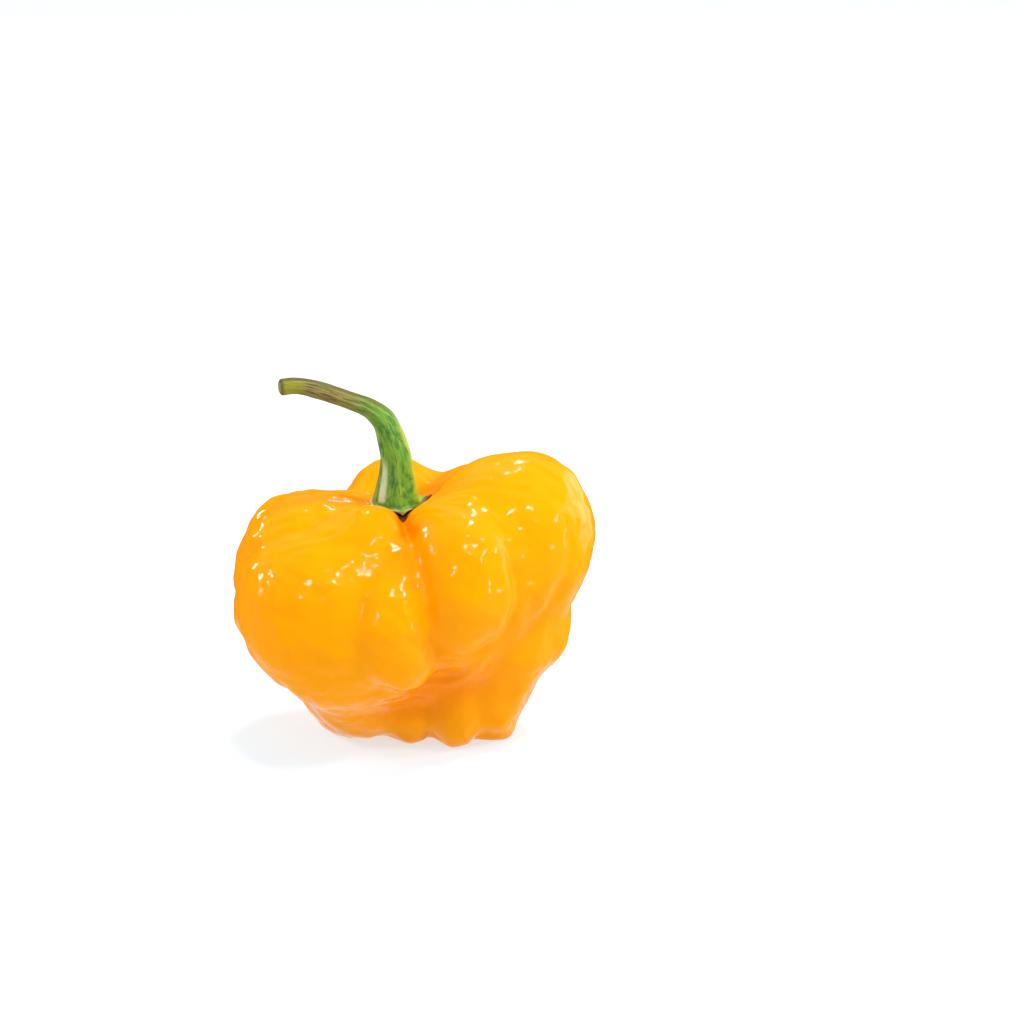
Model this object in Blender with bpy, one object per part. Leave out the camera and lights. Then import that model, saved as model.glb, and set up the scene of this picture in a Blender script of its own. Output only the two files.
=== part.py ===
"""A scotch bonnet pepper as picked, standing on its blossom end: the pod, and the stem with its calyx.

The tables below are in millimetres and the objects in metres. X is right, Y is back and Z is up. Azimuth 0
faces the front (-Y) and 90 the right (+X), and polar is the angle down from straight up, both in degrees and
both seen from the heart of the pod.
"""

import bmesh
import bpy
import numpy as np

MM = 0.001

# Driving dimensions
POD_WIDTH = 50.6
DRAWN_WIDTH = 50.6  # the width at which the lobes, folds and stem below are drawn
SEAT_HEIGHT = 32.7  # the dish in the pod's top that the calyx grows from
SEAT_RADIUS = 3.1
SEAT_RIM_RADIUS = 4.2
FIT_GAP = 0.4
DRAWN_ORIGIN = (-0.19, 0.70, 0.25)  # the origin in the tables: on the ground, under the middle of the pod
HEART = np.array([-2.4, 2.0, 20.0])  # every ray from here leaves the pod through its skin once

# Fineness of the faceted skin
POD_SEGMENTS = 96
POD_RINGS = 56
STEM_SIDES = 36
EASING_ROUNDS = 3
EASING = 0.45  # how far each round draws a corner of the pod to the middle of its neighbours
EASED_BELOW = 0.9  # only where the way out from the heart rises less than this, so outside the seat

POD_COLOUR = (1.0, 0.42, 0.01, 1.0)
STEM_COLOUR = (0.13, 0.31, 0.04, 1.0)

# The pod is a soft union of swollen lobes, each (centre, radii). A group's first value is how softly its
# lobes run into each other, in millimetres, and FOLD is how softly the groups meet.
FOLD = 1.1
LOBE_GROUPS = {
    "core": (1.0, {"core": ((0.5, 0.5, 18.5), (16.0, 15.5, 12.5))}),
    "left": (
        2.2,
        {
            "left_rear": ((-12.5, 5.0, 20.5), (12.8, 11.5, 12.6)),
            "left_shoulder": ((-15.3, 3.0, 23.5), (8.6, 9.0, 8.4)),
            "left_front": ((-11.2, -6.0, 20.0), (13.4, 13.5, 12.5)),
            "left_low": ((-8.6, -2.5, 10.5), (7.6, 8.5, 8.5)),
        },
    ),
    "pouch": (
        1.5,
        {
            "front_pouch": ((-2.8, -12.3, 20.3), (6.2, 8.5, 9.2)),
            "front_shoulder": ((-5.4, -4.6, 25.2), (7.3, 8.0, 9.9)),
        },
    ),
    "right": (
        2.0,
        {
            "right": ((13.4, 3.0, 27.2), (12.1, 13.5, 12.2)),
            "right_front": ((7.0, -8.2, 25.7), (7.4, 10.5, 10.3)),
            "right_low": ((13.0, -1.0, 14.5), (7.7, 9.2, 8.6)),
            "right_shoulder": ((2.4, -2.6, 25.3), (5.2, 6.4, 8.4)),
        },
    ),
    "back": (
        1.5,
        {
            "far": ((-3.5, 12.5, 24.5), (8.0, 8.5, 10.7)),
            "right_rear": ((7.0, 13.0, 21.5), (8.5, 9.0, 12.5)),
        },
    ),
    "chin": (
        1.2,
        {
            "chin_left": ((-7.2, -1.5, 6.4), (7.3, 7.5, 6.6)),
            "chin_mid": ((-0.7, -4.8, 4.8), (3.5, 4.5, 5.2)),
            "chin_front": ((5.9, -5.5, 6.0), (3.8, 5.5, 6.4)),
            "chin_right": ((11.7, -2.0, 7.8), (5.5, 7.5, 8.0)),
            "chin_back": ((2.0, 6.5, 6.6), (8.0, 6.0, 7.0)),
        },
    ),
}

# Folds and ridges along the skin: a path of (azimuth, polar), the half width, the height (a fold is below 0),
# the sharpness of its section (2 is round) and the share of its length over which each end fades
CREASES = {
    "main_crease": ([(13, 14), (10, 28), (11, 43), (13, 60), (13, 87), (18, 99)], 1.1, -0.8, 1.6, 0.12),
    "calyx_notch_front": ([(10, 12), (9, 20), (9, 28), (11, 36), (12, 44)], 1.5, -1.3, 1.6, 0.25),
    "calyx_notch_right": ([(98, 12), (104, 18), (122, 25), (138, 32), (146, 37)], 1.4, -1.0, 1.6, 0.25),
    "left_groove": ([(-71, 27), (-62, 48), (-66, 60), (-79, 73), (-88, 85)], 2.0, -0.7, 1.6, 0.3),
    "pouch_side": ([(-15, 60), (-13, 75), (-14, 88), (-12, 97)], 1.4, -0.35, 1.6, 0.3),
    "pouch_under": ([(-15, 97), (-7, 107), (3, 114), (13, 115), (24, 109), (30, 100)], 2.4, -1.4, 2.0, 0.25),
    "right_pouch_edge": ([(47, 55), (48, 66), (48, 77), (43, 87), (34, 93), (24, 99)], 1.6, -1.0, 1.5, 0.25),
    "right_fold": ([(76, 55), (71, 69), (66, 78), (62, 87), (56, 97)], 1.4, -0.8, 1.5, 0.3),
}

# Wide low places and swellings of the lobes, drawn the same way
SWELLINGS = {
    "left_waist": ([(-106, 62), (-97, 72), (-90, 80), (-88, 90), (-85, 100)], 5.0, -1.1, 2.0, 0.3),
    "left_side": ([(-72, 86), (-63, 100), (-54, 115), (-48, 120), (-38, 122)], 4.0, -1.3, 2.0, 0.25),
    "under_left": ([(-80, 129), (-64, 125), (-48, 120), (-28, 114)], 3.0, -0.5, 2.0, 0.3),
    "chin_heel": ([(-74, 147), (-57, 148), (-38, 148)], 2.2, 0.35, 2.0, 0.3),
    "under_right": ([(58, 136), (69, 128), (73, 120), (80, 112)], 4.0, -1.3, 2.0, 0.25),
    "right_low_ridge": ([(68, 105), (77, 102), (86, 98)], 2.2, 0.8, 2.0, 0.35),
    "right_waist": ([(78, 94), (84, 87), (88, 80), (92, 74)], 3.0, -0.8, 2.0, 0.3),
    "right_bulge": ([(97, 63), (100, 56), (106, 52), (116, 45)], 5.0, 1.0, 2.0, 0.3),
    "left_rear_dip": ([(-148, 35), (-138, 40), (-128, 43), (-114, 50), (-104, 58)], 4.0, -0.8, 2.0, 0.25),
    "far_left_groove": ([(-154, 60), (-147, 50), (-138, 40)], 2.4, -0.5, 2.0, 0.3),
    "far_bulge": ([(152, 48), (164, 47), (184, 46)], 3.2, 0.75, 2.0, 0.3),
    "far_right_groove": ([(150, 62), (154, 48), (150, 34)], 2.1, -0.85, 2.0, 0.3),
    "chin_cleft_left": ([(24, 159), (28, 153), (31, 144)], 1.3, -0.6, 1.6, 0.3),
    "chin_cleft_right": ([(44, 149), (50, 143), (54, 134)], 1.3, -0.7, 1.6, 0.3),
    "chin_right_knob": ([(54, 149), (58, 143), (66, 138), (76, 133)], 1.8, 0.8, 1.6, 0.3),
    "chin_front_knob": ([(28, 158), (37, 152), (46, 147)], 2.0, 0.6, 2.0, 0.3),
}

# Low swellings all over the skin: waves of this length and height, in seeded random directions
SWELL_LENGTH = 9.0
SWELL_HEIGHT = 0.13
SWELL_WAVES = 14
SWELL_SEED = 5

# The calyx: a thin cap with a point in each crease, and the cup that the stem flares into
CALYX_RADIUS = 3.45
CALYX_POINTS = {  # azimuth: (reach past CALYX_RADIUS, width in degrees)
    12: (0.7, 13),
    104: (1.3, 14),
    190: (0.6, 13),
    262: (0.3, 13),
    318: (0.2, 13),
}
CALYX_THICKNESS = 0.5
CALYX_CUPPING = 0.25  # how much further its edge stands off the pod than its middle
STEM_RIDGES = {-44: 1.1, 12: 0.7, 58: 1.0, 118: 1.0, 180: 0.8, 244: 1.0}  # azimuth: relative height
STEM_RIDGE_DEPTH = 0.13  # as a share of the radius
STEM_RIDGE_WIDTH = 14.0
STEM_RIDGE_LEAN = 14.0  # degrees round the stem over its whole length

# The stem's centre line above the cup and its radius there, up from the seat and over to the cut end
STEM_PATH = [
    ((-2.5, 2.0, 34.1), 3.25),
    ((-2.5, 2.0, 35.6), 2.9),
    ((-2.5, 2.0, 37.6), 2.5),
    ((-2.6, 2.0, 40.4), 2.2),
    ((-3.4, 1.9, 43.6), 1.92),
    ((-4.4, 1.8, 46.0), 1.65),
    ((-6.4, 1.6, 47.8), 1.3),
    ((-9.4, 1.3, 49.15), 1.18),
    ((-12.7, 1.0, 50.45), 1.2),
    ((-16.0, 0.8, 51.25), 1.1),
    ((-18.5, 0.8, 51.05), 1.15),
]
STEM_STATIONS = 34


def directions(azimuth, polar):
    """Unit vectors from angles in degrees."""
    a, b = np.radians(azimuth), np.radians(polar)
    return np.stack([np.sin(a) * np.sin(b), -np.cos(a) * np.sin(b), np.cos(b)], -1)


def ease(x):
    """0 below 0, 1 above 1, and a smooth S between."""
    x = np.clip(x, 0, 1)
    return x * x * (3 - 2 * x)


def to_ellipsoid(points, centre, radii):
    """About how far points lie outside an ellipsoid."""
    offset = points - np.array(centre)
    radii = np.array(radii)
    scaled = np.linalg.norm(offset / radii, axis=-1)
    slope = np.linalg.norm(offset / radii**2, axis=-1)
    return scaled * (scaled - 1) / np.maximum(slope, 1e-6)


def soft_union(gaps, softness):
    """The smallest of several distances, rounded where they are alike."""
    total = sum(np.exp(-np.maximum(gap, -8) / softness) for gap in gaps)
    return -softness * np.log(np.maximum(total, 1e-30))


def outside_lobes(points):
    """Below 0 inside the lobes and above 0 outside them."""
    groups = [
        soft_union([to_ellipsoid(points, *lobe) for lobe in lobes.values()], softness)
        for softness, lobes in LOBE_GROUPS.values()
    ]
    return soft_union(groups, FOLD)


def lobe_radius(towards):
    """Distance from the heart to the last place where a ray leaves the lobes: whole steps, then halving."""
    last_inside = np.full(towards.shape[:-1], 2.0)
    for step in np.arange(2.0, 40.0):
        inside = outside_lobes(HEART + towards * step) < 0
        last_inside = np.where(inside, step, last_inside)
    near, far = last_inside, last_inside + 1
    for _ in range(10):
        middle = (near + far) / 2
        inside = outside_lobes(HEART + towards * middle[..., None]) < 0
        near = np.where(inside, middle, near)
        far = np.where(inside, far, middle)
    return (near + far) / 2


def crease_height(towards, radius, path, half_width, height, sharpness, fade):
    """How far one fold or ridge moves the skin: a bell across its path, fading at both ends."""
    turns = directions(*np.array(path, float).T)
    lengths = np.linalg.norm(np.diff(turns, axis=0), axis=1)
    nearest = np.full(radius.shape, 9.0)
    along = np.zeros(radius.shape)
    passed = 0.0
    for start, end, length in zip(turns[:-1], turns[1:], lengths):
        share = np.clip(((towards - start) @ (end - start)) / length**2, 0, 1)
        gap = np.linalg.norm(towards - start - share[..., None] * (end - start), axis=-1)
        closer = gap < nearest
        nearest = np.where(closer, gap, nearest)
        along = np.where(closer, (passed + share * length) / lengths.sum(), along)
        passed += length
    bell = np.exp(-((nearest * radius / half_width) ** sharpness))
    return height * bell * ease(along / fade) * ease((1 - along) / fade)


def swells(points):
    """Low irregular swellings: a sum of cosine waves through space."""
    draw = np.random.RandomState(SWELL_SEED)
    waves = draw.normal(size=(SWELL_WAVES, 3))
    waves *= 2 * np.pi / SWELL_LENGTH / np.linalg.norm(waves, axis=1, keepdims=True)
    phases = draw.uniform(0, 2 * np.pi, SWELL_WAVES)
    return SWELL_HEIGHT * np.cos(points @ waves.T + phases).sum(-1) / np.sqrt(SWELL_WAVES / 2)


def skin_radius(towards):
    """Distance from the heart to the pod's skin along unit vectors: lobes, folds, swellings and the seat."""
    lobes = lobe_radius(towards)
    strokes = [*CREASES.values(), *SWELLINGS.values()]
    radius = lobes + sum(crease_height(towards, lobes, *stroke) for stroke in strokes)
    radius = radius + swells(HEART + towards * lobes[..., None])
    upright = np.maximum(towards[..., 2], 0.05)
    seat = (SEAT_HEIGHT - HEART[2]) / upright
    off_axis = seat * np.sqrt(np.maximum(0, 1 - towards[..., 2] ** 2))
    pressed = 1 - ease((off_axis - SEAT_RADIUS) / (SEAT_RIM_RADIUS - SEAT_RADIUS))
    return np.where(towards[..., 2] > 0, radius + (seat - radius) * pressed, radius)


def skin_points(towards):
    """Points of the pod's skin along unit vectors."""
    return HEART + towards * skin_radius(towards)[..., None]


def spline(stations, count):
    """A smooth curve through evenly weighted stations, each a row of numbers, sampled count times."""
    stations = np.array(stations, float)
    padded = np.vstack([2 * stations[0] - stations[1], stations, 2 * stations[-1] - stations[-2]])
    place = np.linspace(0, len(stations) - 1 - 1e-9, count)
    i = place.astype(int)
    t = (place - i)[:, None]
    a, b, c, d = padded[i], padded[i + 1], padded[i + 2], padded[i + 3]
    return 0.5 * (2 * b + (c - a) * t + (2 * a - 5 * b + 4 * c - d) * t**2 + (3 * b - a - 3 * c + d) * t**3)


def turn_between(azimuth, other):
    """The angle between two azimuths, 0 to 180 degrees."""
    return np.abs((azimuth - other + 180) % 360 - 180)


def calyx_reach(azimuth):
    """How far the calyx spreads from its middle: a round cap, drawn out to a point in each crease."""
    points = CALYX_POINTS.items()
    return CALYX_RADIUS + sum(
        reach * np.exp(-((turn_between(azimuth, point) / width) ** 1.5)) for point, (reach, width) in points
    )


def calyx_ring(azimuth, share, lift):
    """Points of the calyx at this share of its reach, this far out from the pod's skin."""
    polar = np.degrees(np.arctan2(calyx_reach(azimuth) * share, SEAT_HEIGHT - HEART[2]))
    towards = directions(azimuth, polar)
    return HEART + towards * (skin_radius(towards) + lift)[..., None]


def ridged(azimuth, along):
    """The stem's section: a circle raised into narrow ridges, which lean and sink towards the cut end."""
    leaning = azimuth + STEM_RIDGE_LEAN * along
    crests = sum(
        height * np.exp(-((turn_between(leaning, crest) / STEM_RIDGE_WIDTH) ** 1.3))
        for crest, height in STEM_RIDGES.items()
    )
    return 0.95 + STEM_RIDGE_DEPTH * crests * (1 - 0.35 * along)


def stem_rings(azimuth):
    """Rings round the stem, square to its centre line, from the cup to the cut end."""
    line = spline([(*centre, radius) for centre, radius in STEM_PATH], STEM_STATIONS)
    centres, radii = line[:, :3], line[:, 3]
    ways = np.gradient(centres, axis=0)
    ways /= np.linalg.norm(ways, axis=1, keepdims=True)
    back = np.array([0.0, 1.0, 0.0]) - ways * ways[:, 1:2]
    back /= np.linalg.norm(back, axis=1, keepdims=True)
    side = np.cross(back, ways)
    a = np.radians(azimuth)[None, :, None]
    spokes = side[:, None] * np.sin(a) - back[:, None] * np.cos(a)
    along = np.linspace(0, 1, STEM_STATIONS)[:, None]
    return centres[:, None] + spokes * (radii[:, None] * ridged(azimuth, along))[..., None]


def stem_section_rings(azimuth):
    """All the rings of the stem in order: under the calyx, out to its edge, back over it and up the stem."""
    under = [calyx_ring(azimuth, share, FIT_GAP + CALYX_CUPPING * share) for share in (0.3, 0.6, 0.85, 1.0)]
    edge = FIT_GAP + CALYX_CUPPING
    over = [
        calyx_ring(azimuth, 1.0, edge + CALYX_THICKNESS * 0.7),
        calyx_ring(azimuth, 0.93, edge + CALYX_THICKNESS),
    ]
    return np.array(under + over + list(stem_rings(azimuth)))


def material(name, colour, roughness):
    made = bpy.data.materials.new(name)
    made.use_nodes = True
    shader = made.node_tree.nodes["Principled BSDF"]
    shader.inputs["Base Color"].default_value = colour
    shader.inputs["Roughness"].default_value = roughness
    shader.inputs["Metallic"].default_value = 0.0
    return made


def finish(name, shape, look, collection):
    """Moves a bmesh to the origin, scales it to metres and adds it to the scene as one smooth object."""
    bmesh.ops.translate(shape, vec=[-x for x in DRAWN_ORIGIN], verts=shape.verts)
    bmesh.ops.scale(shape, vec=[MM * POD_WIDTH / DRAWN_WIDTH] * 3, verts=shape.verts)
    bmesh.ops.recalc_face_normals(shape, faces=shape.faces)
    mesh = bpy.data.meshes.new(name)
    shape.to_mesh(mesh)
    shape.free()
    mesh.shade_smooth()
    mesh.materials.append(look)
    made = bpy.data.objects.new(name, mesh)
    collection.objects.link(made)
    return made


def make_pod(collection):
    """A sphere with every point moved out along its own ray to the skin, eased, and flat where it rests."""
    shape = bmesh.new()
    bmesh.ops.create_uvsphere(shape, u_segments=POD_SEGMENTS, v_segments=POD_RINGS, radius=1)
    towards = np.array([vert.co.normalized() for vert in shape.verts])
    for vert, point in zip(shape.verts, skin_points(towards)):
        vert.co = point
    eased = [vert for vert, way in zip(shape.verts, towards) if way[2] < EASED_BELOW]
    all_axes = {"use_axis_x": True, "use_axis_y": True, "use_axis_z": True}
    for _ in range(EASING_ROUNDS):
        bmesh.ops.smooth_vert(shape, verts=eased, factor=EASING, **all_axes)
    for vert in shape.verts:
        vert.co.z = max(vert.co.z, DRAWN_ORIGIN[2])
    return finish("pod", shape, material("pod_skin", POD_COLOUR, 0.25), collection)


def make_stem(collection):
    """A loft through unlike rings: the calyx's pointed outline, its cup and the ridged stem."""
    shape = bmesh.new()
    azimuth = np.arange(STEM_SIDES) * 360 / STEM_SIDES
    rings = [[shape.verts.new(point) for point in ring] for ring in stem_section_rings(azimuth)]
    for lower, upper in zip(rings[:-1], rings[1:]):
        for i in range(STEM_SIDES):
            j = (i + 1) % STEM_SIDES
            shape.faces.new((lower[i], lower[j], upper[j], upper[i]))
    shape.faces.new(rings[0])
    shape.faces.new(rings[-1])
    return finish("stem", shape, material("stem_green", STEM_COLOUR, 0.5), collection)


for old in list(bpy.data.objects):
    bpy.data.objects.remove(old, do_unlink=True)
pepper = bpy.data.collections.new("scotch_bonnet_pepper")
bpy.context.scene.collection.children.link(pepper)
make_pod(pepper)
make_stem(pepper)
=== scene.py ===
"""A scotch bonnet pepper standing on its blossom end: glossy, wrinkled skin, and a ridged green stem."""

import bpy
import numpy as np
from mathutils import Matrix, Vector


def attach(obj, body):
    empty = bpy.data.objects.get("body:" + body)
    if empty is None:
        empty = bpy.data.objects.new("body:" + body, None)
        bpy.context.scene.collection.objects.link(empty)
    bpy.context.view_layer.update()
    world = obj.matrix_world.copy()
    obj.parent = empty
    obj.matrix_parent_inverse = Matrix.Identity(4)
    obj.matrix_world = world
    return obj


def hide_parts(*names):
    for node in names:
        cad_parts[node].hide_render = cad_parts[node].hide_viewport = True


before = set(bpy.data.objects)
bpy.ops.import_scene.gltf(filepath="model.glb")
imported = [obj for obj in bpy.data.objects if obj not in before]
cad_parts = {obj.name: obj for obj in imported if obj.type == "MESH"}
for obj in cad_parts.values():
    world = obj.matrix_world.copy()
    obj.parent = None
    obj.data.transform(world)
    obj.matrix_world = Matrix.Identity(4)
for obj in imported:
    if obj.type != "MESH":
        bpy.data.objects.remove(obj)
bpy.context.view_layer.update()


# The pod: a hollow berry whose wall is one smooth skin, drawn tight over swollen lobes and folded where
# they press on each other. It grew from the calyx, which sits in a dish in its top, and the skin is
# finely wrinkled lengthways, from the calyx down to the chin that it stands on.

POD_COLUMNS = 400
POD_ROWS = 240
HEART = np.array([-2.4, 2.0, 20.0])  # every ray from here leaves the pod once; it is drawn in millimetres
ORIGIN = np.array([-0.19, 0.70, 0.25])  # the model's origin in this drawing, at the height of the ground
MILLIMETRE = 0.001
SKIN_NEAREST = 9  # the whole skin lies between these distances from the heart
SKIN_FARTHEST = 34
SKIN_HALVINGS = 9  # these place it to 0.002 mm
SEAT_HEIGHT = 32.7  # the dish that the calyx grows from
SEAT_RADIUS = 3.1
SEAT_RIM_RADIUS = 4.2
FOLD = 1.1  # how softly the groups of lobes meet
DEEPEST = -8  # a point further inside a lobe counts as this deep
GROUND_ROUNDING = 0.22  # how softly the skin turns level where it rests
SMOOTHING_ROUNDS = 3
SMOOTHED_BELOW = 25  # nearer to the top, in degrees of polar, the skin isn't smoothed
UNEVENNESS = 0.13  # height of the broad waves over the whole skin
RIDGE_COUNTS = (17, 23, 29, 37, 47, 59)  # fine ridges round the pod; the more there are, the lower they stand
RIDGE_HEIGHT = 0.07
RIDGE_SWAY = 9  # in degrees of azimuth
RIDGE_LEAST = 0.35  # share of their height that is left between the patches
BUMP_HEIGHT = 0.07
RIPPLE_FADE = 4  # the ridges and bumps grow up over this stretch outside the seat

# Each group of lobes: how softly they run into each other, and their (centre, radii)
LOBE_GROUPS = {
    "core": (1.0, [((0.5, 0.5, 18.5), (16.0, 15.5, 12.5))]),
    "left": (
        2.2,
        [
            ((-12.5, 5.0, 20.5), (12.8, 11.5, 12.6)),
            ((-15.3, 3.0, 23.5), (8.6, 9.0, 8.4)),
            ((-11.2, -6.0, 20.0), (13.4, 13.5, 12.5)),
            ((-8.6, -2.5, 10.5), (7.6, 8.5, 8.5)),
        ],
    ),
    "pouch": (
        1.5,
        [
            ((-2.8, -12.3, 20.3), (6.2, 8.5, 9.2)),
            ((-5.4, -4.6, 25.2), (7.3, 8.0, 9.9)),
        ],
    ),
    "right": (
        2.0,
        [
            ((13.4, 3.0, 27.2), (12.1, 13.5, 12.2)),
            ((7.0, -8.2, 25.7), (7.4, 10.5, 10.3)),
            ((13.0, -1.0, 14.5), (7.7, 9.2, 8.6)),
            ((2.4, -2.6, 25.3), (5.2, 6.4, 8.4)),
        ],
    ),
    "back": (
        1.5,
        [
            ((-3.5, 12.5, 24.5), (8.0, 8.5, 10.7)),
            ((7.0, 13.0, 21.5), (8.5, 9.0, 12.5)),
        ],
    ),
    "chin": (
        1.2,
        [
            ((-7.2, -1.5, 6.4), (7.3, 7.5, 6.6)),
            ((-0.7, -4.8, 4.8), (3.5, 4.5, 5.2)),
            ((5.9, -5.5, 6.0), (3.8, 5.5, 6.4)),
            ((11.7, -2.0, 7.8), (5.5, 7.5, 8.0)),
            ((2.0, 6.5, 6.6), (8.0, 6.0, 7.0)),
        ],
    ),
}

# Each fold: a path of (azimuth, polar) in degrees, half width, height, sharpness (2 is round), fading share
FOLDS = {
    "main_crease": ([(13, 14), (10, 28), (11, 43), (13, 60), (13, 87), (18, 99)], 1.1, -0.8, 1.6, 0.12),
    "left_groove": ([(-71, 27), (-62, 48), (-66, 60), (-79, 73), (-88, 85)], 2.0, -0.7, 1.6, 0.3),
    "pouch_side": ([(-15, 60), (-13, 75), (-14, 88), (-12, 97)], 1.4, -0.35, 1.6, 0.3),
    "pouch_under": ([(-15, 97), (-7, 107), (3, 114), (13, 115), (24, 109), (30, 100)], 2.4, -1.4, 2.0, 0.25),
    "right_pouch_edge": ([(47, 55), (48, 66), (48, 77), (43, 87), (34, 93), (24, 99)], 1.6, -1.0, 1.5, 0.25),
    "right_fold": ([(76, 55), (71, 69), (66, 78), (62, 87), (56, 97)], 1.4, -0.8, 1.5, 0.3),
}

# Low places and swellings of the lobes, wide and soft, drawn the same way
SWELLINGS = {
    "left_waist": ([(-106, 62), (-97, 72), (-90, 80), (-88, 90), (-85, 100)], 5.0, -1.1, 2.0, 0.3),
    "left_side": ([(-72, 86), (-63, 100), (-54, 115), (-48, 120), (-38, 122)], 4.0, -1.3, 2.0, 0.25),
    "under_left": ([(-80, 129), (-64, 125), (-48, 120), (-28, 114)], 3.0, -0.5, 2.0, 0.3),
    "chin_heel": ([(-74, 147), (-57, 148), (-38, 148)], 2.2, 0.35, 2.0, 0.3),
    "under_right": ([(58, 136), (69, 128), (73, 120), (80, 112)], 4.0, -1.3, 2.0, 0.25),
    "right_low_ridge": ([(68, 105), (77, 102), (86, 98)], 2.2, 0.8, 2.0, 0.35),
    "right_waist": ([(78, 94), (84, 87), (88, 80), (92, 74)], 3.0, -0.8, 2.0, 0.3),
    "right_bulge": ([(97, 63), (100, 56), (106, 52), (116, 45)], 5.0, 1.0, 2.0, 0.3),
    "left_rear_dip": ([(-148, 35), (-138, 40), (-128, 43), (-114, 50), (-104, 58)], 4.0, -0.8, 2.0, 0.25),
    "far_left_groove": ([(-154, 60), (-147, 50), (-138, 40)], 2.4, -0.5, 2.0, 0.3),
    "far_bulge": ([(152, 48), (164, 47), (184, 46)], 3.2, 0.75, 2.0, 0.3),
    "far_right_groove": ([(150, 62), (154, 48), (150, 34)], 2.1, -0.85, 2.0, 0.3),
    "calyx_notch_right": ([(98, 12), (104, 18), (122, 25), (138, 32), (146, 37)], 1.4, -1.0, 1.6, 0.25),
    "calyx_notch_front": ([(10, 12), (9, 20), (9, 28), (11, 36), (12, 44)], 1.5, -1.3, 1.6, 0.25),
    "pouch_dimple": ([(5, 70), (5, 62), (5, 54)], 2.0, -0.1, 2.0, 0.4),
    "chin_cleft_left": ([(24, 159), (28, 153), (31, 144)], 1.3, -0.6, 1.6, 0.3),
    "chin_cleft_right": ([(44, 149), (50, 143), (54, 134)], 1.3, -0.7, 1.6, 0.3),
    "chin_right_knob": ([(54, 149), (58, 143), (66, 138), (76, 133)], 1.8, 0.8, 1.6, 0.3),
    "chin_front_knob": ([(28, 158), (37, 152), (46, 147)], 2.4, 0.45, 2.0, 0.3),
}

# Single wrinkles and rims that stand proud of the folds, drawn the same way
WRINKLES = [
    # beside the fold at the right of the pouch
    ([(41, 60), (41, 72), (37, 81), (31, 84), (25, 89), (20, 95)], 0.7, 0.16, 1.6, 0.3),
    ([(22, 98), (37, 100), (43, 98), (46, 92)], 0.6, 0.15, 1.6, 0.3),
    ([(25, 91), (32, 86), (38, 79), (39, 70)], 0.5, -0.12, 1.6, 0.3),
    # beside the fold in the right flank
    ([(65, 70), (60, 75), (61, 82), (57, 86), (53, 90)], 0.6, 0.2, 1.6, 0.3),
    ([(80, 68), (73, 76), (69, 80), (69, 86)], 0.6, 0.16, 1.6, 0.3),
    ([(73, 60), (69, 66), (65, 70), (60, 76)], 0.6, 0.14, 1.6, 0.3),
    # down the right lobe and below it
    ([(88, 45), (89, 60), (84, 72), (78, 80)], 0.7, 0.16, 1.6, 0.3),
    ([(96, 50), (97, 65), (92, 78), (86, 88)], 0.7, 0.16, 1.6, 0.3),
    ([(61, 101), (53, 104), (45, 107)], 0.6, 0.14, 1.6, 0.3),
    ([(60, 113), (56, 120), (50, 124)], 0.6, 0.14, 1.6, 0.3),
    # down the left lobe and below it
    ([(-52, 87), (-46, 88), (-37, 94), (-32, 107), (-31, 118), (-29, 134)], 0.8, 0.16, 1.6, 0.25),
    ([(-40, 81), (-35, 87), (-34, 93), (-29, 105), (-25, 112), (-22, 123)], 0.7, 0.14, 1.6, 0.25),
    ([(-45, 70), (-42, 80), (-38, 88)], 0.6, 0.12, 1.6, 0.3),
    ([(-54, 72), (-48, 81), (-43, 90)], 0.6, 0.12, 1.6, 0.3),
    ([(-66, 70), (-62, 82), (-56, 94), (-50, 105)], 0.7, 0.12, 1.6, 0.3),
    # under the pouch
    ([(-13, 88), (-6, 95), (-1, 102), (7, 108), (14, 106), (17, 97)], 0.9, 0.22, 2.0, 0.25),
    # over the shoulder of the left lobe
    ([(-88, 64), (-77, 58), (-71, 50), (-72, 36)], 0.6, -0.13, 1.5, 0.3),
    ([(-70, 72), (-63, 66), (-55, 58), (-48, 46), (-46, 34)], 0.6, -0.12, 1.5, 0.3),
    ([(-42, 52), (-42, 39), (-38, 28)], 0.7, -0.07, 1.5, 0.3),
    # over the shoulder of the right lobe
    ([(66, 24), (73, 34), (82, 40), (96, 44)], 0.7, 0.1, 1.6, 0.3),
    ([(62, 30), (69, 42), (77, 55), (84, 66)], 0.6, -0.1, 1.5, 0.3),
]


def directions(azimuth, polar):
    """Unit vectors: azimuth 0 is the front (-Y) and 90 the right (+X), polar is down from +Z, in degrees."""
    a, b = np.radians(azimuth), np.radians(polar)
    return np.stack([np.sin(a) * np.sin(b), -np.cos(a) * np.sin(b), np.cos(b)], -1)


def ease(x):
    """0 below 0, 1 above 1, and the smooth step 3x^2 - 2x^3 between."""
    x = np.clip(x, 0, 1)
    return x * x * (3 - 2 * x)


def outside_lobes(points):
    """Below 0 inside the pod. A lobe's distance is k (k - 1) over the slope of k, a point's share of its
    radii. Distances join as the negative log of a sum of exponentials, in their group and then between
    groups."""
    groups = []
    for softness, lobes in LOBE_GROUPS.values():
        near = 0
        for centre, radii in lobes:
            offset = (points - centre) / radii
            share = np.sqrt((offset**2).sum(-1))
            slope = np.sqrt(((offset / radii) ** 2).sum(-1))
            distance = share * (share - 1) / np.maximum(slope, 1e-6)
            near = near + np.exp(-np.maximum(distance, DEEPEST) / softness)
        groups.append(-softness * np.log(np.maximum(near, 1e-30)))
    return -FOLD * np.log(np.maximum(sum(np.exp(-np.maximum(g, DEEPEST) / FOLD) for g in groups), 1e-30))


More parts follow.
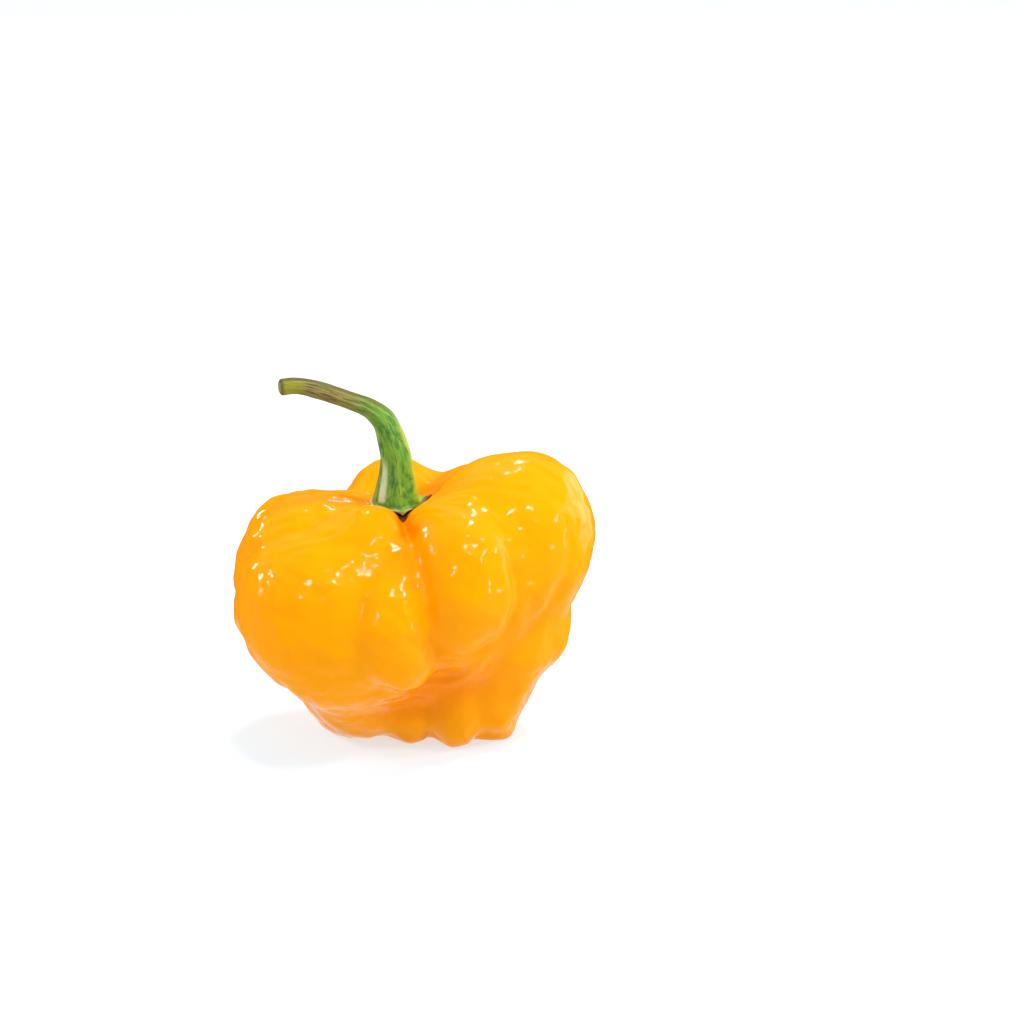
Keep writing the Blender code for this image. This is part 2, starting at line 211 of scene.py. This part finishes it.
def lobe_radius(towards):
    """Distance from the heart to where a ray last leaves the lobes: whole millimetres, then halving."""
    near = np.full(towards.shape[:-1], float(SKIN_NEAREST))
    for step in range(SKIN_NEAREST, SKIN_FARTHEST):
        near = np.where(outside_lobes(HEART + towards * step) < 0, step, near)
    far = near + 1
    for _ in range(SKIN_HALVINGS):
        middle = (near + far) / 2
        inside = outside_lobes(HEART + towards * middle[..., None]) < 0
        near, far = np.where(inside, middle, near), np.where(inside, far, middle)
    return (near + far) / 2


def fold_height(towards, radius, path, half_width, height, sharpness, fade):
    """A bell across the path, height * exp(-(distance / half width) ^ sharpness), eased out at both ends."""
    turns = directions(*np.array(path, float).T)
    lengths = np.linalg.norm(np.diff(turns, axis=0), axis=1)
    nearest, along, passed = np.full(radius.shape, np.inf), np.zeros(radius.shape), 0.0
    for start, end, length in zip(turns[:-1], turns[1:], lengths):
        share = np.clip(((towards - start) @ (end - start)) / length**2, 0, 1)
        gap = np.linalg.norm(towards - start - share[..., None] * (end - start), axis=-1)
        along = np.where(gap < nearest, (passed + share * length) / lengths.sum(), along)
        nearest = np.minimum(nearest, gap)
        passed += length
    bell = np.exp(-((nearest * radius / half_width) ** sharpness))
    return height * bell * ease(along / fade) * ease((1 - along) / fade)


def waves(points, length, count, seed):
    """A sum of cosines through space, all of one wavelength, in seeded directions, with a spread of 1."""
    draw = np.random.RandomState(seed)
    ways = draw.normal(size=(count, 3))
    ways *= 2 * np.pi / length / np.linalg.norm(ways, axis=1, keepdims=True)
    return np.cos(points @ ways.T + draw.uniform(0, 2 * np.pi, count)).sum(-1) / np.sqrt(count / 2)


def ripples(azimuth, polar, points):
    """Ridges from the calyx to the chin: cosines of whole counts of azimuth, bent by slow waves and laid in
    patches, with small round bumps between them. In millimetres."""
    sway = RIDGE_SWAY * waves(points, length=11.0, count=12, seed=31)
    a, b = np.radians(azimuth + sway), np.radians(polar)
    draw = np.random.RandomState(8)
    ridges = 0
    for count in RIDGE_COUNTS:
        lean, start = draw.uniform(-9, 9), draw.uniform(0, 6)
        ridges = ridges + RIDGE_COUNTS[0] / count * np.cos(count * a + lean * b + start)
    patches = ease(0.5 + 0.7 * waves(points, length=16.0, count=10, seed=77))
    bumps = BUMP_HEIGHT * waves(points, length=4.2, count=16, seed=12)
    bumps = bumps + BUMP_HEIGHT / 2 * waves(points, length=2.2, count=20, seed=13)
    height = RIDGE_HEIGHT * ridges * (RIDGE_LEAST + (1 - RIDGE_LEAST) * patches)
    return height * np.sin(b) ** 0.5 + bumps


def skin_radius(azimuth, polar):
    """Distance from the heart to the skin: the lobes with the folds, low swellings, wrinkles and ripples,
    and the seat pressed level in the top."""
    towards = directions(azimuth, polar)
    lobes = lobe_radius(towards)
    points = HEART + towards * lobes[..., None]
    radius = lobes + sum(fold_height(towards, lobes, *fold) for fold in (FOLDS | SWELLINGS).values())
    radius = radius + UNEVENNESS * waves(points, length=9.0, count=14, seed=5)
    fine = ripples(azimuth, polar, points) + sum(fold_height(towards, lobes, *line) for line in WRINKLES)
    upright = np.maximum(towards[..., 2], 0.05)  # a level ray never meets the seat
    seat = (SEAT_HEIGHT - HEART[2]) / upright
    off_axis = seat * np.sqrt(np.maximum(0, 1 - towards[..., 2] ** 2))
    pressed = 1 - ease((off_axis - SEAT_RADIUS) / (SEAT_RIM_RADIUS - SEAT_RADIUS))
    radius = radius + fine * ease((off_axis - SEAT_RADIUS) / RIPPLE_FADE)
    return np.where(towards[..., 2] > 0, radius + (seat - radius) * pressed, radius)


def neighbours_mean(values):
    """The mean of the four neighbours on a grid closed round its columns, and of two in the end rows."""
    mean = (np.roll(values, 1, 1) + np.roll(values, -1, 1)) / 2
    mean[1:-1] = (mean[1:-1] + (values[2:] + values[:-2]) / 2) / 2
    return mean


def eased(values, rounds):
    """The values after so many rounds of neighbours' means: more rounds even out wider forms."""
    for _ in range(rounds):
        values = neighbours_mean(values)
    return values


def turn_between(azimuth, other):
    """The angle between two azimuths, 0 to 180 degrees."""
    return np.abs((azimuth - other + 180) % 360 - 180)


def closed_grid(name, points, poles):
    """A mesh of quads between the rows of points, closed round the columns and by a fan to each pole."""
    rows, columns = points.shape[:2]
    row, column = np.meshgrid(np.arange(rows - 1), np.arange(columns), indexing="ij")
    here, beside = row * columns + column, row * columns + (column + 1) % columns
    quads = np.stack([here, here + columns, beside + columns, beside], -1).reshape(-1, 4)
    first, second = np.arange(columns), (np.arange(columns) + 1) % columns
    top, bottom, last = rows * columns, rows * columns + 1, (rows - 1) * columns
    fans = [
        np.stack([np.full(columns, top), first, second], -1),
        np.stack([np.full(columns, bottom), last + second, last + first], -1),
    ]
    mesh = bpy.data.meshes.new(name)
    corners = (np.vstack([points.reshape(-1, 3), poles]) - ORIGIN) * MILLIMETRE
    mesh.from_pydata(corners.tolist(), [], quads.tolist() + np.vstack(fans).tolist())
    mesh.shade_smooth()
    made = bpy.data.objects.new(name, mesh)
    bpy.context.scene.collection.objects.link(made)
    return made


def corner_values(piece, name, values, at_poles):
    """A number for each corner of the mesh, which its material reads by name."""
    made = piece.data.attributes.new(name, "FLOAT", "POINT")
    made.data.foreach_set("value", np.append(values.ravel(), at_poles).astype(np.float32))


polar, azimuth = np.meshgrid(
    np.linspace(0, 180, POD_ROWS + 2)[1:-1], np.linspace(0, 360, POD_COLUMNS, endpoint=False), indexing="ij"
)
radius = skin_radius(azimuth, polar)
skin = HEART + directions(azimuth, polar) * radius[..., None]
for _ in range(SMOOTHING_ROUNDS):
    skin = np.where((polar > SMOOTHED_BELOW)[..., None], (skin + neighbours_mean(skin)) / 2, skin)
above_ground = (skin[..., 2] - ORIGIN[2]) / GROUND_ROUNDING
skin[..., 2] = ORIGIN[2] + GROUND_ROUNDING * np.log1p(np.exp(above_ground))  # level below, unchanged above
pod = closed_grid("pod_skin", skin, [skin[0].mean(0), skin[-1].mean(0)])
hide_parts("pod")
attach(pod, "root")

FOLD_ROUNDS = 80  # even out a fold
LOBE_ROUNDS = 900  # even out a whole lobe
CALYX_SHADE_RADIUS = 4.4  # painted shade: a dark ring round the calyx, in the gap under it, which runs out further down two creases
CALYX_SHADE_FADE = 0.8
CALYX_SHADE_REACH = 5.6
CALYX_SHADE_REACH_FADE = 1.6
CALYX_SHADE_CREASES = (12, 106)  # azimuths
CALYX_SHADE_CREASE_WIDTH = 16

corner_values(pod, "hollow", eased(radius, FOLD_ROUNDS) - radius, [0, 0])
corner_values(pod, "recess", eased(radius, LOBE_ROUNDS) - radius, [0, 0])
out_of_reach = 40 * (polar > 60)  # below the top there is no painted shade
from_stem = np.hypot(skin[..., 0] - HEART[0], skin[..., 1] - HEART[1]) + out_of_reach
in_crease = sum(np.exp(-((turn_between(azimuth, way) / CALYX_SHADE_CREASE_WIDTH) ** 2)) for way in CALYX_SHADE_CREASES)
tongues = ease((CALYX_SHADE_REACH - from_stem) / CALYX_SHADE_REACH_FADE) * in_crease
corner_values(pod, "calyx_shade", tongues + ease((CALYX_SHADE_RADIUS - from_stem) / CALYX_SHADE_FADE), [1, 0])


class Wire:
    """An output of a material's node. Arithmetic on wires adds Math nodes, so a mask reads as a formula."""

    def __init__(self, socket):
        self.socket = socket

    def node(self, kind, settings=None, inputs=None, output=0):
        """Adds a node to the same material: first its settings, then the values or wires of its sockets."""
        tree = self.socket.id_data
        made = tree.nodes.new(kind)
        for name, value in (settings or {}).items():
            setattr(made, name, value)
        for name, value in (inputs or {}).items():
            if isinstance(value, Wire):
                tree.links.new(value.socket, made.inputs[name])
            else:
                made.inputs[name].default_value = value
        return Wire(made.outputs[output])

    def math(self, operation, first, second):
        return self.node("ShaderNodeMath", {"operation": operation}, {0: first, 1: second})

    def __add__(self, other):
        return self.math("ADD", self, other)

    def __radd__(self, other):
        return self.math("ADD", other, self)

    def __sub__(self, other):
        return self.math("SUBTRACT", self, other)

    def __rsub__(self, other):
        return self.math("SUBTRACT", other, self)

    def __mul__(self, other):
        return self.math("MULTIPLY", self, other)

    def __rmul__(self, other):
        return self.math("MULTIPLY", other, self)

    def rise(self, low, high):
        """0 at low, 1 at high and an S between."""
        sockets = {"Value": self, "From Min": low, "From Max": high}
        return self.node("ShaderNodeMapRange", {"interpolation_type": "SMOOTHSTEP"}, sockets)

    def blend(self, from_colour, to_colour):
        """Mixes two colours by this mask."""
        return self.node("ShaderNodeMix", {"data_type": "RGBA"}, {0: self, 6: from_colour, 7: to_colour}, 2)

    def noise(self, scale, detail=2.0, roughness=0.5, distortion=0.0):
        """Noise at these coordinates."""
        sockets = {"Vector": self, "Scale": scale, "Detail": detail, "Roughness": roughness}
        return self.node("ShaderNodeTexNoise", None, {**sockets, "Distortion": distortion})

    def stretched(self, scale):
        """These coordinates, scaled along each axis."""
        return self.node("ShaderNodeVectorMath", {"operation": "MULTIPLY"}, {0: self, 1: scale})

    def values(self, name):
        """The values that the mesh's corners carry by this name."""
        return self.node("ShaderNodeAttribute", {"attribute_name": name}, None, "Fac")

    def relief(self, height, distance):
        """The surface's normal, tilted by this height."""
        return self.node("ShaderNodeBump", None, {"Height": height, "Distance": distance, "Strength": 1.0})

    def into(self, shader, name):
        self.socket.id_data.links.new(self.socket, shader.inputs[name])


def surface(piece, constants):
    """A material named for its piece and put on it: its shader, with these constants, and the place in it."""
    made = bpy.data.materials.new(piece.name)
    made.use_nodes = True
    piece.data.materials.append(made)
    shader = made.node_tree.nodes["Principled BSDF"]
    for name, value in constants.items():
        shader.inputs[name].default_value = value
    return shader, Wire(made.node_tree.nodes.new("ShaderNodeTexCoord").outputs["Object"])


MOTTLE_AND_TOP_LIGHT_YELLOW = (0.94, 0.315, 0.0, 1.0)
RIPE_ORANGE = (0.94, 0.305, 0.0, 1.0)
SHADE_ORANGE = (0.88, 0.18, 0.0, 1.0)
CALYX_SHADE_BROWN = (0.10, 0.045, 0.008, 1.0)
WAX_IOR = 1.17
WAX_ROUGHNESS = 0.05
WAX_DULLNESS = 0.10  # roughness that the dullest spots add
SKIN_GRAIN_HEIGHT = 0.00001  # for a difference of one in the grain

shader, place = surface(pod, {"IOR": WAX_IOR})
height = place.node("ShaderNodeSeparateXYZ", None, {0: place}, 2)
mottling = place.noise(140, 3.0, 0.55, 0.6)
plan = place.stretched((1, 1, 0))
round_the_pod = place.node("ShaderNodeVectorMath", {"operation": "NORMALIZE"}, {0: plan}).stretched((9, 9, 9))
lengthways = place.node("ShaderNodeVectorMath", None, {0: round_the_pod, 1: place.stretched((0, 0, 120))})
veins = lengthways.noise(1.0, 4.0, 0.6, 0.4)
# painted light: the skin is blended towards yellow higher up, where the lamps light it most; the mottling and
# lengthways veins are the skin's own uneven tone
top_light_and_mottling = (height.rise(0.002, 0.036) * 0.8 + mottling * 0.5 + veins * 0.4 - 0.35).rise(0.0, 1.0)
colour = top_light_and_mottling.blend(RIPE_ORANGE, MOTTLE_AND_TOP_LIGHT_YELLOW)
# painted shade: deeper orange in the broad recesses between the lobes, and less of it in the narrow folds,
# which are painted lighter against the darker light there
shaded = place.values("recess").rise(0.2, 2.4) * 0.7 - place.values("hollow").rise(0.05, 1.3) * 0.4
colour = shaded.blend(colour, SHADE_ORANGE)
# painted shade: dark brown in the dish under the calyx and down the two creases below its points
calyx_shade_mask = (place.values("calyx_shade") + place.noise(900) * 0.4 - 0.2).rise(0.3, 0.7)
colour = calyx_shade_mask.blend(colour, CALYX_SHADE_BROWN)
colour.into(shader, "Base Color")
(WAX_ROUGHNESS + place.noise(260, 4.0, 0.6) * WAX_DULLNESS).into(shader, "Roughness")
skin_grain = place.noise(1500, 3.0, 0.6) + place.noise(600, 2.0) * 9 + place.noise(330, 1.0) * 8
place.relief(skin_grain, SKIN_GRAIN_HEIGHT).into(shader, "Normal")


# The stem and calyx: one green, woody piece. Its foot spreads into a small cap in the pod's top, with a
# point in each crease, and the stalk rises with six ridges, bends over to the left and ends in a blunt cut.

STEM_SIDES = 120
STEM_STATIONS = 200
FIT_GAP = 0.3  # between the calyx and the pod
CALYX_RADIUS = 3.45
CALYX_POINTS = [  # azimuth, added reach, width
    (12, 0.7, 13),
    (104, 1.05, 14),
    (190, 0.6, 13),
    (262, 0.1, 13),
    (318, 0.2, 13),
]
CALYX_THICKNESS = 0.5
CALYX_CUPPING = 0.25  # how much further its rim stands off the pod
CALYX_SHARES = (0.3, 0.6, 0.85, 1.0)  # rings under the calyx, in shares of its reach
CALYX_RIM = ((1.0, 0.7), (0.93, 1.0))  # rings round its edge: shares of its reach and thickness
STEM_RIDGES = {-44: 1.1, 12: 0.7, 58: 1.0, 118: 1.0, 180: 0.8, 244: 1.0}  # azimuth, and relative height
STEM_RIDGE_DEPTH = 0.13  # like the next three, a share of the stalk's radius
STEM_VALLEYS = 0.95
FIBRE_HEIGHT = 0.008
KNOB_HEIGHT = 0.012
STEM_RIDGE_WIDTH = 13  # in degrees
STEM_RIDGE_LEAN = 14  # in degrees over the whole length
STEM_RIDGE_SINK = 0.35  # share of their height that the ridges lose towards the cut end
FIBRES = [(17, 5, 1.0), (29, -8, 0.7), (41, 3, 0.5)]  # count round the stalk, lean, relative height
CUT_ROUNDING = 0.2  # share of the radius that the edge of the cut loses
CUT_STRETCH = 0.015  # over this share of the length

# The stalk's middle line from the calyx to the cut end, with its radius
STEM_PATH = [
    (-2.5, 2.0, 34.1, 3.25),
    (-2.5, 2.0, 35.6, 2.9),
    (-2.5, 2.0, 37.6, 2.5),
    (-2.6, 2.0, 40.4, 2.2),
    (-3.4, 1.9, 43.6, 1.92),
    (-4.4, 1.8, 46.0, 1.65),
    (-6.4, 1.6, 47.8, 1.3),
    (-9.4, 1.3, 49.15, 1.18),
    (-12.7, 1.0, 50.45, 1.2),
    (-16.0, 0.7, 51.3, 1.1),
    (-18.3, 0.0, 51.35, 1.15),
]


def spline(stations, count):
    """A smooth curve through evenly weighted stations: the cubic whose slope at each joins its neighbours."""
    stations = np.array(stations, float)
    padded = np.vstack([2 * stations[0] - stations[1], stations, 2 * stations[-1] - stations[-2]])
    at = np.linspace(0, len(stations) - 1 - 1e-9, count)
    i = at.astype(int)
    t = (at - i)[:, None]
    a, b, c, d = padded[i], padded[i + 1], padded[i + 2], padded[i + 3]
    return 0.5 * (2 * b + (c - a) * t + (2 * a - 5 * b + 4 * c - d) * t**2 + (3 * b - a - 3 * c + d) * t**3)


def calyx_ring(azimuth, share, lift):
    """Points of the calyx at this share of its reach, this far out from the pod's skin. Its reach is a round
    cap's, with a bell exp(-(turn / width) ^ 1.5) at each azimuth of CALYX_POINTS."""
    reach = CALYX_RADIUS
    for point, extra, width in CALYX_POINTS:
        reach = reach + extra * np.exp(-((turn_between(azimuth, point) / width) ** 1.5))
    polar = np.degrees(np.arctan2(reach * share, SEAT_HEIGHT - HEART[2]))
    return HEART + directions(azimuth, polar) * (skin_radius(azimuth, polar) + lift)[..., None]


def ridge(azimuth, along):
    """A crest at each azimuth of STEM_RIDGES, exp(-(turn / width) ^ 1.3), which leans round the stalk with
    its length and sinks towards the cut end. From 0 to about 1."""
    leaning = azimuth + STEM_RIDGE_LEAN * along
    crests = 0
    for crest, height in STEM_RIDGES.items():
        crests = crests + height * np.exp(-((turn_between(leaning, crest) / STEM_RIDGE_WIDTH) ** 1.3))
    return crests * (1 - STEM_RIDGE_SINK * along)


def stalk(azimuth, along):
    """Rings square to the middle line. A ring's radius is the path's times a share: a constant for the
    valleys, the ridges, cosines for the fibres and low knobs, less a cube's rise over the edge of the cut."""
    line = spline(STEM_PATH, STEM_STATIONS)
    centres, radii = line[:, :3], line[:, 3:]
    ways = np.gradient(centres, axis=0)
    ways /= np.linalg.norm(ways, axis=1, keepdims=True)
    back = np.array([0.0, 1.0, 0.0]) - ways * ways[:, 1:2]
    back /= np.linalg.norm(back, axis=1, keepdims=True)
    side = np.cross(back, ways)
    a = np.radians(azimuth)
    spokes = side[:, None] * np.sin(a)[..., None] - back[:, None] * np.cos(a)[..., None]
    fibres = sum(height * np.cos(count * a + lean * along) for count, lean, height in FIBRES)
    knobs = waves(centres[:, None] + spokes * radii[:, None], length=2.6, count=14, seed=3)
    share = STEM_VALLEYS + STEM_RIDGE_DEPTH * ridge(azimuth, along)
    share = share + FIBRE_HEIGHT * fibres + KNOB_HEIGHT * knobs
    share = share - CUT_ROUNDING * np.clip((along - (1 - CUT_STRETCH)) / CUT_STRETCH, 0, 1) ** 3
    return centres[:, None] + spokes * (radii * share)[..., None]


around = np.linspace(0, 360, STEM_SIDES, endpoint=False)
edge = FIT_GAP + CALYX_CUPPING
foot = [calyx_ring(around, share, FIT_GAP + CALYX_CUPPING * share) for share in CALYX_SHARES]
foot += [calyx_ring(around, share, edge + CALYX_THICKNESS * up) for share, up in CALYX_RIM]
spread, along = np.meshgrid(around, np.linspace(0, 1, STEM_STATIONS), indexing="xy")
rings = np.concatenate([np.array(foot), stalk(spread, along)])
stem = closed_grid("stem_and_calyx", rings[::-1], [rings[-1].mean(0), rings[0].mean(0)])
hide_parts("stem")
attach(stem, "root")

FOOT_ALONG = (-0.06, -0.01)  # the calyx's rings, on the scale that runs from 0 to 1 along the stalk
CUT_MIDDLE_ALONG = 1.03
WAX_GLINT_AZIMUTH = -38  # painted highlight: a pale glinting strip of wax down the stalk's front left
WAX_GLINT_WIDTH = 10
WAX_GLINT_FROM = 0.01
WAX_GLINT_TO = 0.33

along = np.concatenate([np.linspace(*FOOT_ALONG, len(foot))[:, None] + 0 * around, along])[::-1]
spread = np.concatenate([np.tile(around, (len(foot), 1)), spread])[::-1]
corner_values(stem, "along", along, [CUT_MIDDLE_ALONG, FOOT_ALONG[0]])
corner_values(stem, "ridge", ridge(spread, along), [0, 0])
turned = np.radians(spread)
wax_glint = np.exp(-((turn_between(spread + STEM_RIDGE_LEAN * along, WAX_GLINT_AZIMUTH) / WAX_GLINT_WIDTH) ** 4))
wax_glint = wax_glint * ease((along - WAX_GLINT_FROM) / 0.05) * ease((WAX_GLINT_TO - along) / 0.1)
corner_values(stem, "wax_glint", wax_glint, [0, 0])
corner_values(stem, "across", np.sin(turned), [0, 0])
corner_values(stem, "towards_back", -np.cos(turned), [0, 0])

LEAF_GREEN = (0.155, 0.355, 0.022, 1.0)
DARK_GREEN = (0.045, 0.17, 0.018, 1.0)
PALE_GREEN = (0.33, 0.50, 0.10, 1.0)
YELLOW_GREEN = (0.42, 0.56, 0.02, 1.0)
WAX_GLINT_GREEN = (0.60, 0.68, 0.46, 1.0)
STRAW = (0.33, 0.30, 0.018, 1.0)
OLIVE_BROWN = (0.10, 0.08, 0.004, 1.0)
TAN = (0.31, 0.22, 0.07, 1.0)
DRIED_AND_SHADE_BROWN = (0.085, 0.045, 0.02, 1.0)
RIM_CREAM = (0.72, 0.66, 0.22, 1.0)
STEM_IOR = 1.4
STEM_ROUGHNESS = 0.32
STEM_DULLNESS = 0.25
STEM_GRAIN_HEIGHT = 0.0002

shader, place = surface(stem, {"IOR": STEM_IOR})
along = place.values("along")
across = place.values("across")
wrap = place.node("ShaderNodeCombineXYZ", None, {0: across, 1: place.values("towards_back"), 2: along})
patches = wrap.stretched((1.4, 1.4, 6.0)).noise(2.0, 4.0, 0.6, 0.5)
streaks = wrap.stretched((4.0, 4.0, 8.0)).noise(2.0, 3.0, 0.6, 0.3)
threads = wrap.stretched((9.0, 9.0, 9.0)).noise(2.0, 2.0, 0.6)
specks = place.noise(1300, 3.0, 0.6)
colour = patches.rise(0.36, 0.56).blend(DARK_GREEN, LEAF_GREEN)
colour = (streaks.rise(0.52, 0.68) * 0.8).blend(colour, PALE_GREEN)
colour = (threads.rise(0.48, 0.34) * 0.6).blend(colour, DARK_GREEN)
colour = (place.values("ridge").rise(0.4, 1.0) * patches.rise(0.4, 0.6) * 0.6).blend(colour, YELLOW_GREEN)
lit_edge = across.rise(0.86, 0.98) * (1 - along.rise(0.38, 0.5)) * (patches * 0.8 + 0.35)
colour = lit_edge.blend(colour, YELLOW_GREEN)
# painted highlight: a pale glint on the strip of wax down the stalk's front left
colour = (place.values("wax_glint") * (streaks * 0.6 + 0.6)).blend(colour, WAX_GLINT_GREEN)
bend = along.rise(0.46, 0.6)
arm = along.rise(0.62, 0.76)
edges = (across * across).rise(0.6, 0.98)
colour = (arm * (patches.rise(0.34, 0.54) * 0.3 + 0.6)).blend(colour, STRAW)
colour = (arm * threads.rise(0.5, 0.7) * 0.5).blend(colour, OLIVE_BROWN)
colour = (bend * edges * threads.rise(0.3, 0.5)).blend(colour, OLIVE_BROWN)
browned = along.rise(0.5, 0.78) * (1 - along.rise(0.84, 0.9)) * (1 - edges * 0.7)
colour = (browned * streaks.rise(0.46, 0.56)).blend(colour, TAN)
colour = (browned * (streaks * 0.5 + threads * 0.5).rise(0.52, 0.44)).blend(colour, DRIED_AND_SHADE_BROWN)
colour = (along.rise(0.97, 1.0) * 0.8 * (1 - along.rise(1.002, 1.01))).blend(colour, OLIVE_BROWN)
colour = (along.rise(0.035, 0.0) * place.noise(700).rise(0.45, 0.6) * 0.8).blend(colour, DARK_GREEN)
withered = place.noise(350, 3.0)
colour = (along.rise(-0.006, -0.02) * withered.rise(0.3, 0.5) * 0.9).blend(colour, RIM_CREAM)
dried_tip = along.rise(-0.002, -0.01) * (across * 0.5 + withered).rise(0.72, 0.92) * 0.9
colour = dried_tip.blend(colour, DRIED_AND_SHADE_BROWN)
# painted shade: the underside of the calyx, in its narrow gap over the pod, is dark brown
colour = along.rise(-0.025, -0.05).blend(colour, DRIED_AND_SHADE_BROWN)
colour.into(shader, "Base Color")
(STEM_ROUGHNESS + specks * STEM_DULLNESS).into(shader, "Roughness")
place.relief(streaks + threads * 0.7 + specks * 0.3, STEM_GRAIN_HEIGHT).into(shader, "Normal")


# The floor: a plain pale board, much wider than the view. It gives some light of its own, like a board
# that is lit from all round, so that it is white beside the pepper's shadow.

FLOOR_HALF = 3.0
FLOOR_LOOK = {
    "Base Color": (0.38, 0.47, 0.54, 1.0),
    "Roughness": 0.6,
    "Specular IOR Level": 0.1,
    "Emission Color": (0.89, 0.955, 1.0, 1.0),
    "Emission Strength": 0.62,
}

floor_mesh = bpy.data.meshes.new("floor")
corners = FLOOR_HALF * np.array([[-1, -1, 0], [1, -1, 0], [1, 1, 0], [-1, 1, 0]])
floor_mesh.from_pydata(corners.tolist(), [], [[0, 1, 2, 3]])
floor = bpy.data.objects.new("floor", floor_mesh)
bpy.context.scene.collection.objects.link(floor)
surface(floor, FLOOR_LOOK)
floor.visible_glossy = False  # the skin mirrors the room's low glow in its place


# The light: a bright, even room, warm low down behind the pepper, and small square lamps round it, most of
# them high, which the wax mirrors as white glints.

LAMP_DISTANCE = 0.50
LAMPS = [  # direction, width, power
    ((0.05, -0.20, 0.98), 0.050, 0.65),
    ((0.37, -0.03, 0.93), 0.048, 0.9),
    ((0.59, -0.32, 0.74), 0.035, 0.35),
    ((0.06, 0.66, 0.75), 0.045, 0.75),
    ((0.88, 0.02, 0.42), 0.055, 0.6),
    ((0.89, -0.44, 0.13), 0.040, 0.33),
    ((0.78, 0.60, 0.12), 0.300, 0.7),
    ((-0.53, -0.50, 0.68), 0.040, 0.5),
    ((-0.88, 0.25, 0.40), 0.045, 0.4),
    ((-0.67, 0.72, 0.18), 0.045, 0.3),
]
POD_MIDDLE = Vector((0, 0, 0.02))
ROOM_WHITE = (1.0, 1.0, 1.0, 1.0)
ROOM_WARM = (1.0, 0.42, 0.06, 1.0)
ROOM_GLOW = 0.50
GROUND_GLOW = 0.45  # what the room has more of below the horizon
WARM_GLOW = 0.7

world = bpy.data.worlds.new("studio")
bpy.context.scene.world = world
world.use_nodes = True
room = Wire(world.node_tree.nodes.new("ShaderNodeTexCoord").outputs["Generated"])
rising = room.node("ShaderNodeSeparateXYZ", None, {0: room}, 2)
low = rising.rise(-0.60, -0.44) * (1 - rising.rise(0.15, 0.40))
behind = room.node("ShaderNodeSeparateXYZ", None, {0: room}, 1).rise(0.15, 0.75) * low
glow = (ROOM_GLOW + rising.rise(0.1, -0.1) * GROUND_GLOW) * (1 - behind) + behind * WARM_GLOW
behind.blend(ROOM_WHITE, ROOM_WARM).into(world.node_tree.nodes["Background"], "Color")
glow.into(world.node_tree.nodes["Background"], "Strength")
for way, width, power in LAMPS:
    lamp = bpy.data.lights.new("softbox", "AREA")
    lamp.size = width
    lamp.energy = power
    stand = bpy.data.objects.new("softbox", lamp)
    bpy.context.scene.collection.objects.link(stand)
    stand.location = POD_MIDDLE + Vector(way).normalized() * LAMP_DISTANCE
    stand.rotation_euler = (POD_MIDDLE - stand.location).to_track_quat("-Z", "Y").to_euler()


# The camera: a long lens, looking down on the pepper's front at 25 degrees. The shift sets the pepper left
# of the picture's middle and below it.

CAMERA_ELEVATION = np.radians(25)
CAMERA_DISTANCE = 0.400
SEEN_POINT = Vector((0.00015, -0.0007, 0.0195))
LENS_LENGTH = 100
SENSOR_WIDTH = 36
PICTURE_WIDTH = 1024  # pixels
PIXELS_LEFT = 98
PIXELS_DOWN = 86

lens = bpy.data.cameras.new("camera")
camera = bpy.data.objects.new("camera", lens)
bpy.context.scene.collection.objects.link(camera)
backwards = Vector((0, -np.cos(CAMERA_ELEVATION), np.sin(CAMERA_ELEVATION)))
camera.location = SEEN_POINT + backwards * CAMERA_DISTANCE
camera.rotation_euler = backwards.to_track_quat("Z", "Y").to_euler()
lens.lens = LENS_LENGTH
lens.sensor_width = SENSOR_WIDTH
lens.shift_x = PIXELS_LEFT / PICTURE_WIDTH
lens.shift_y = PIXELS_DOWN / PICTURE_WIDTH
bpy.context.scene.camera = camera
bpy.context.scene.view_settings.view_transform = "Standard"
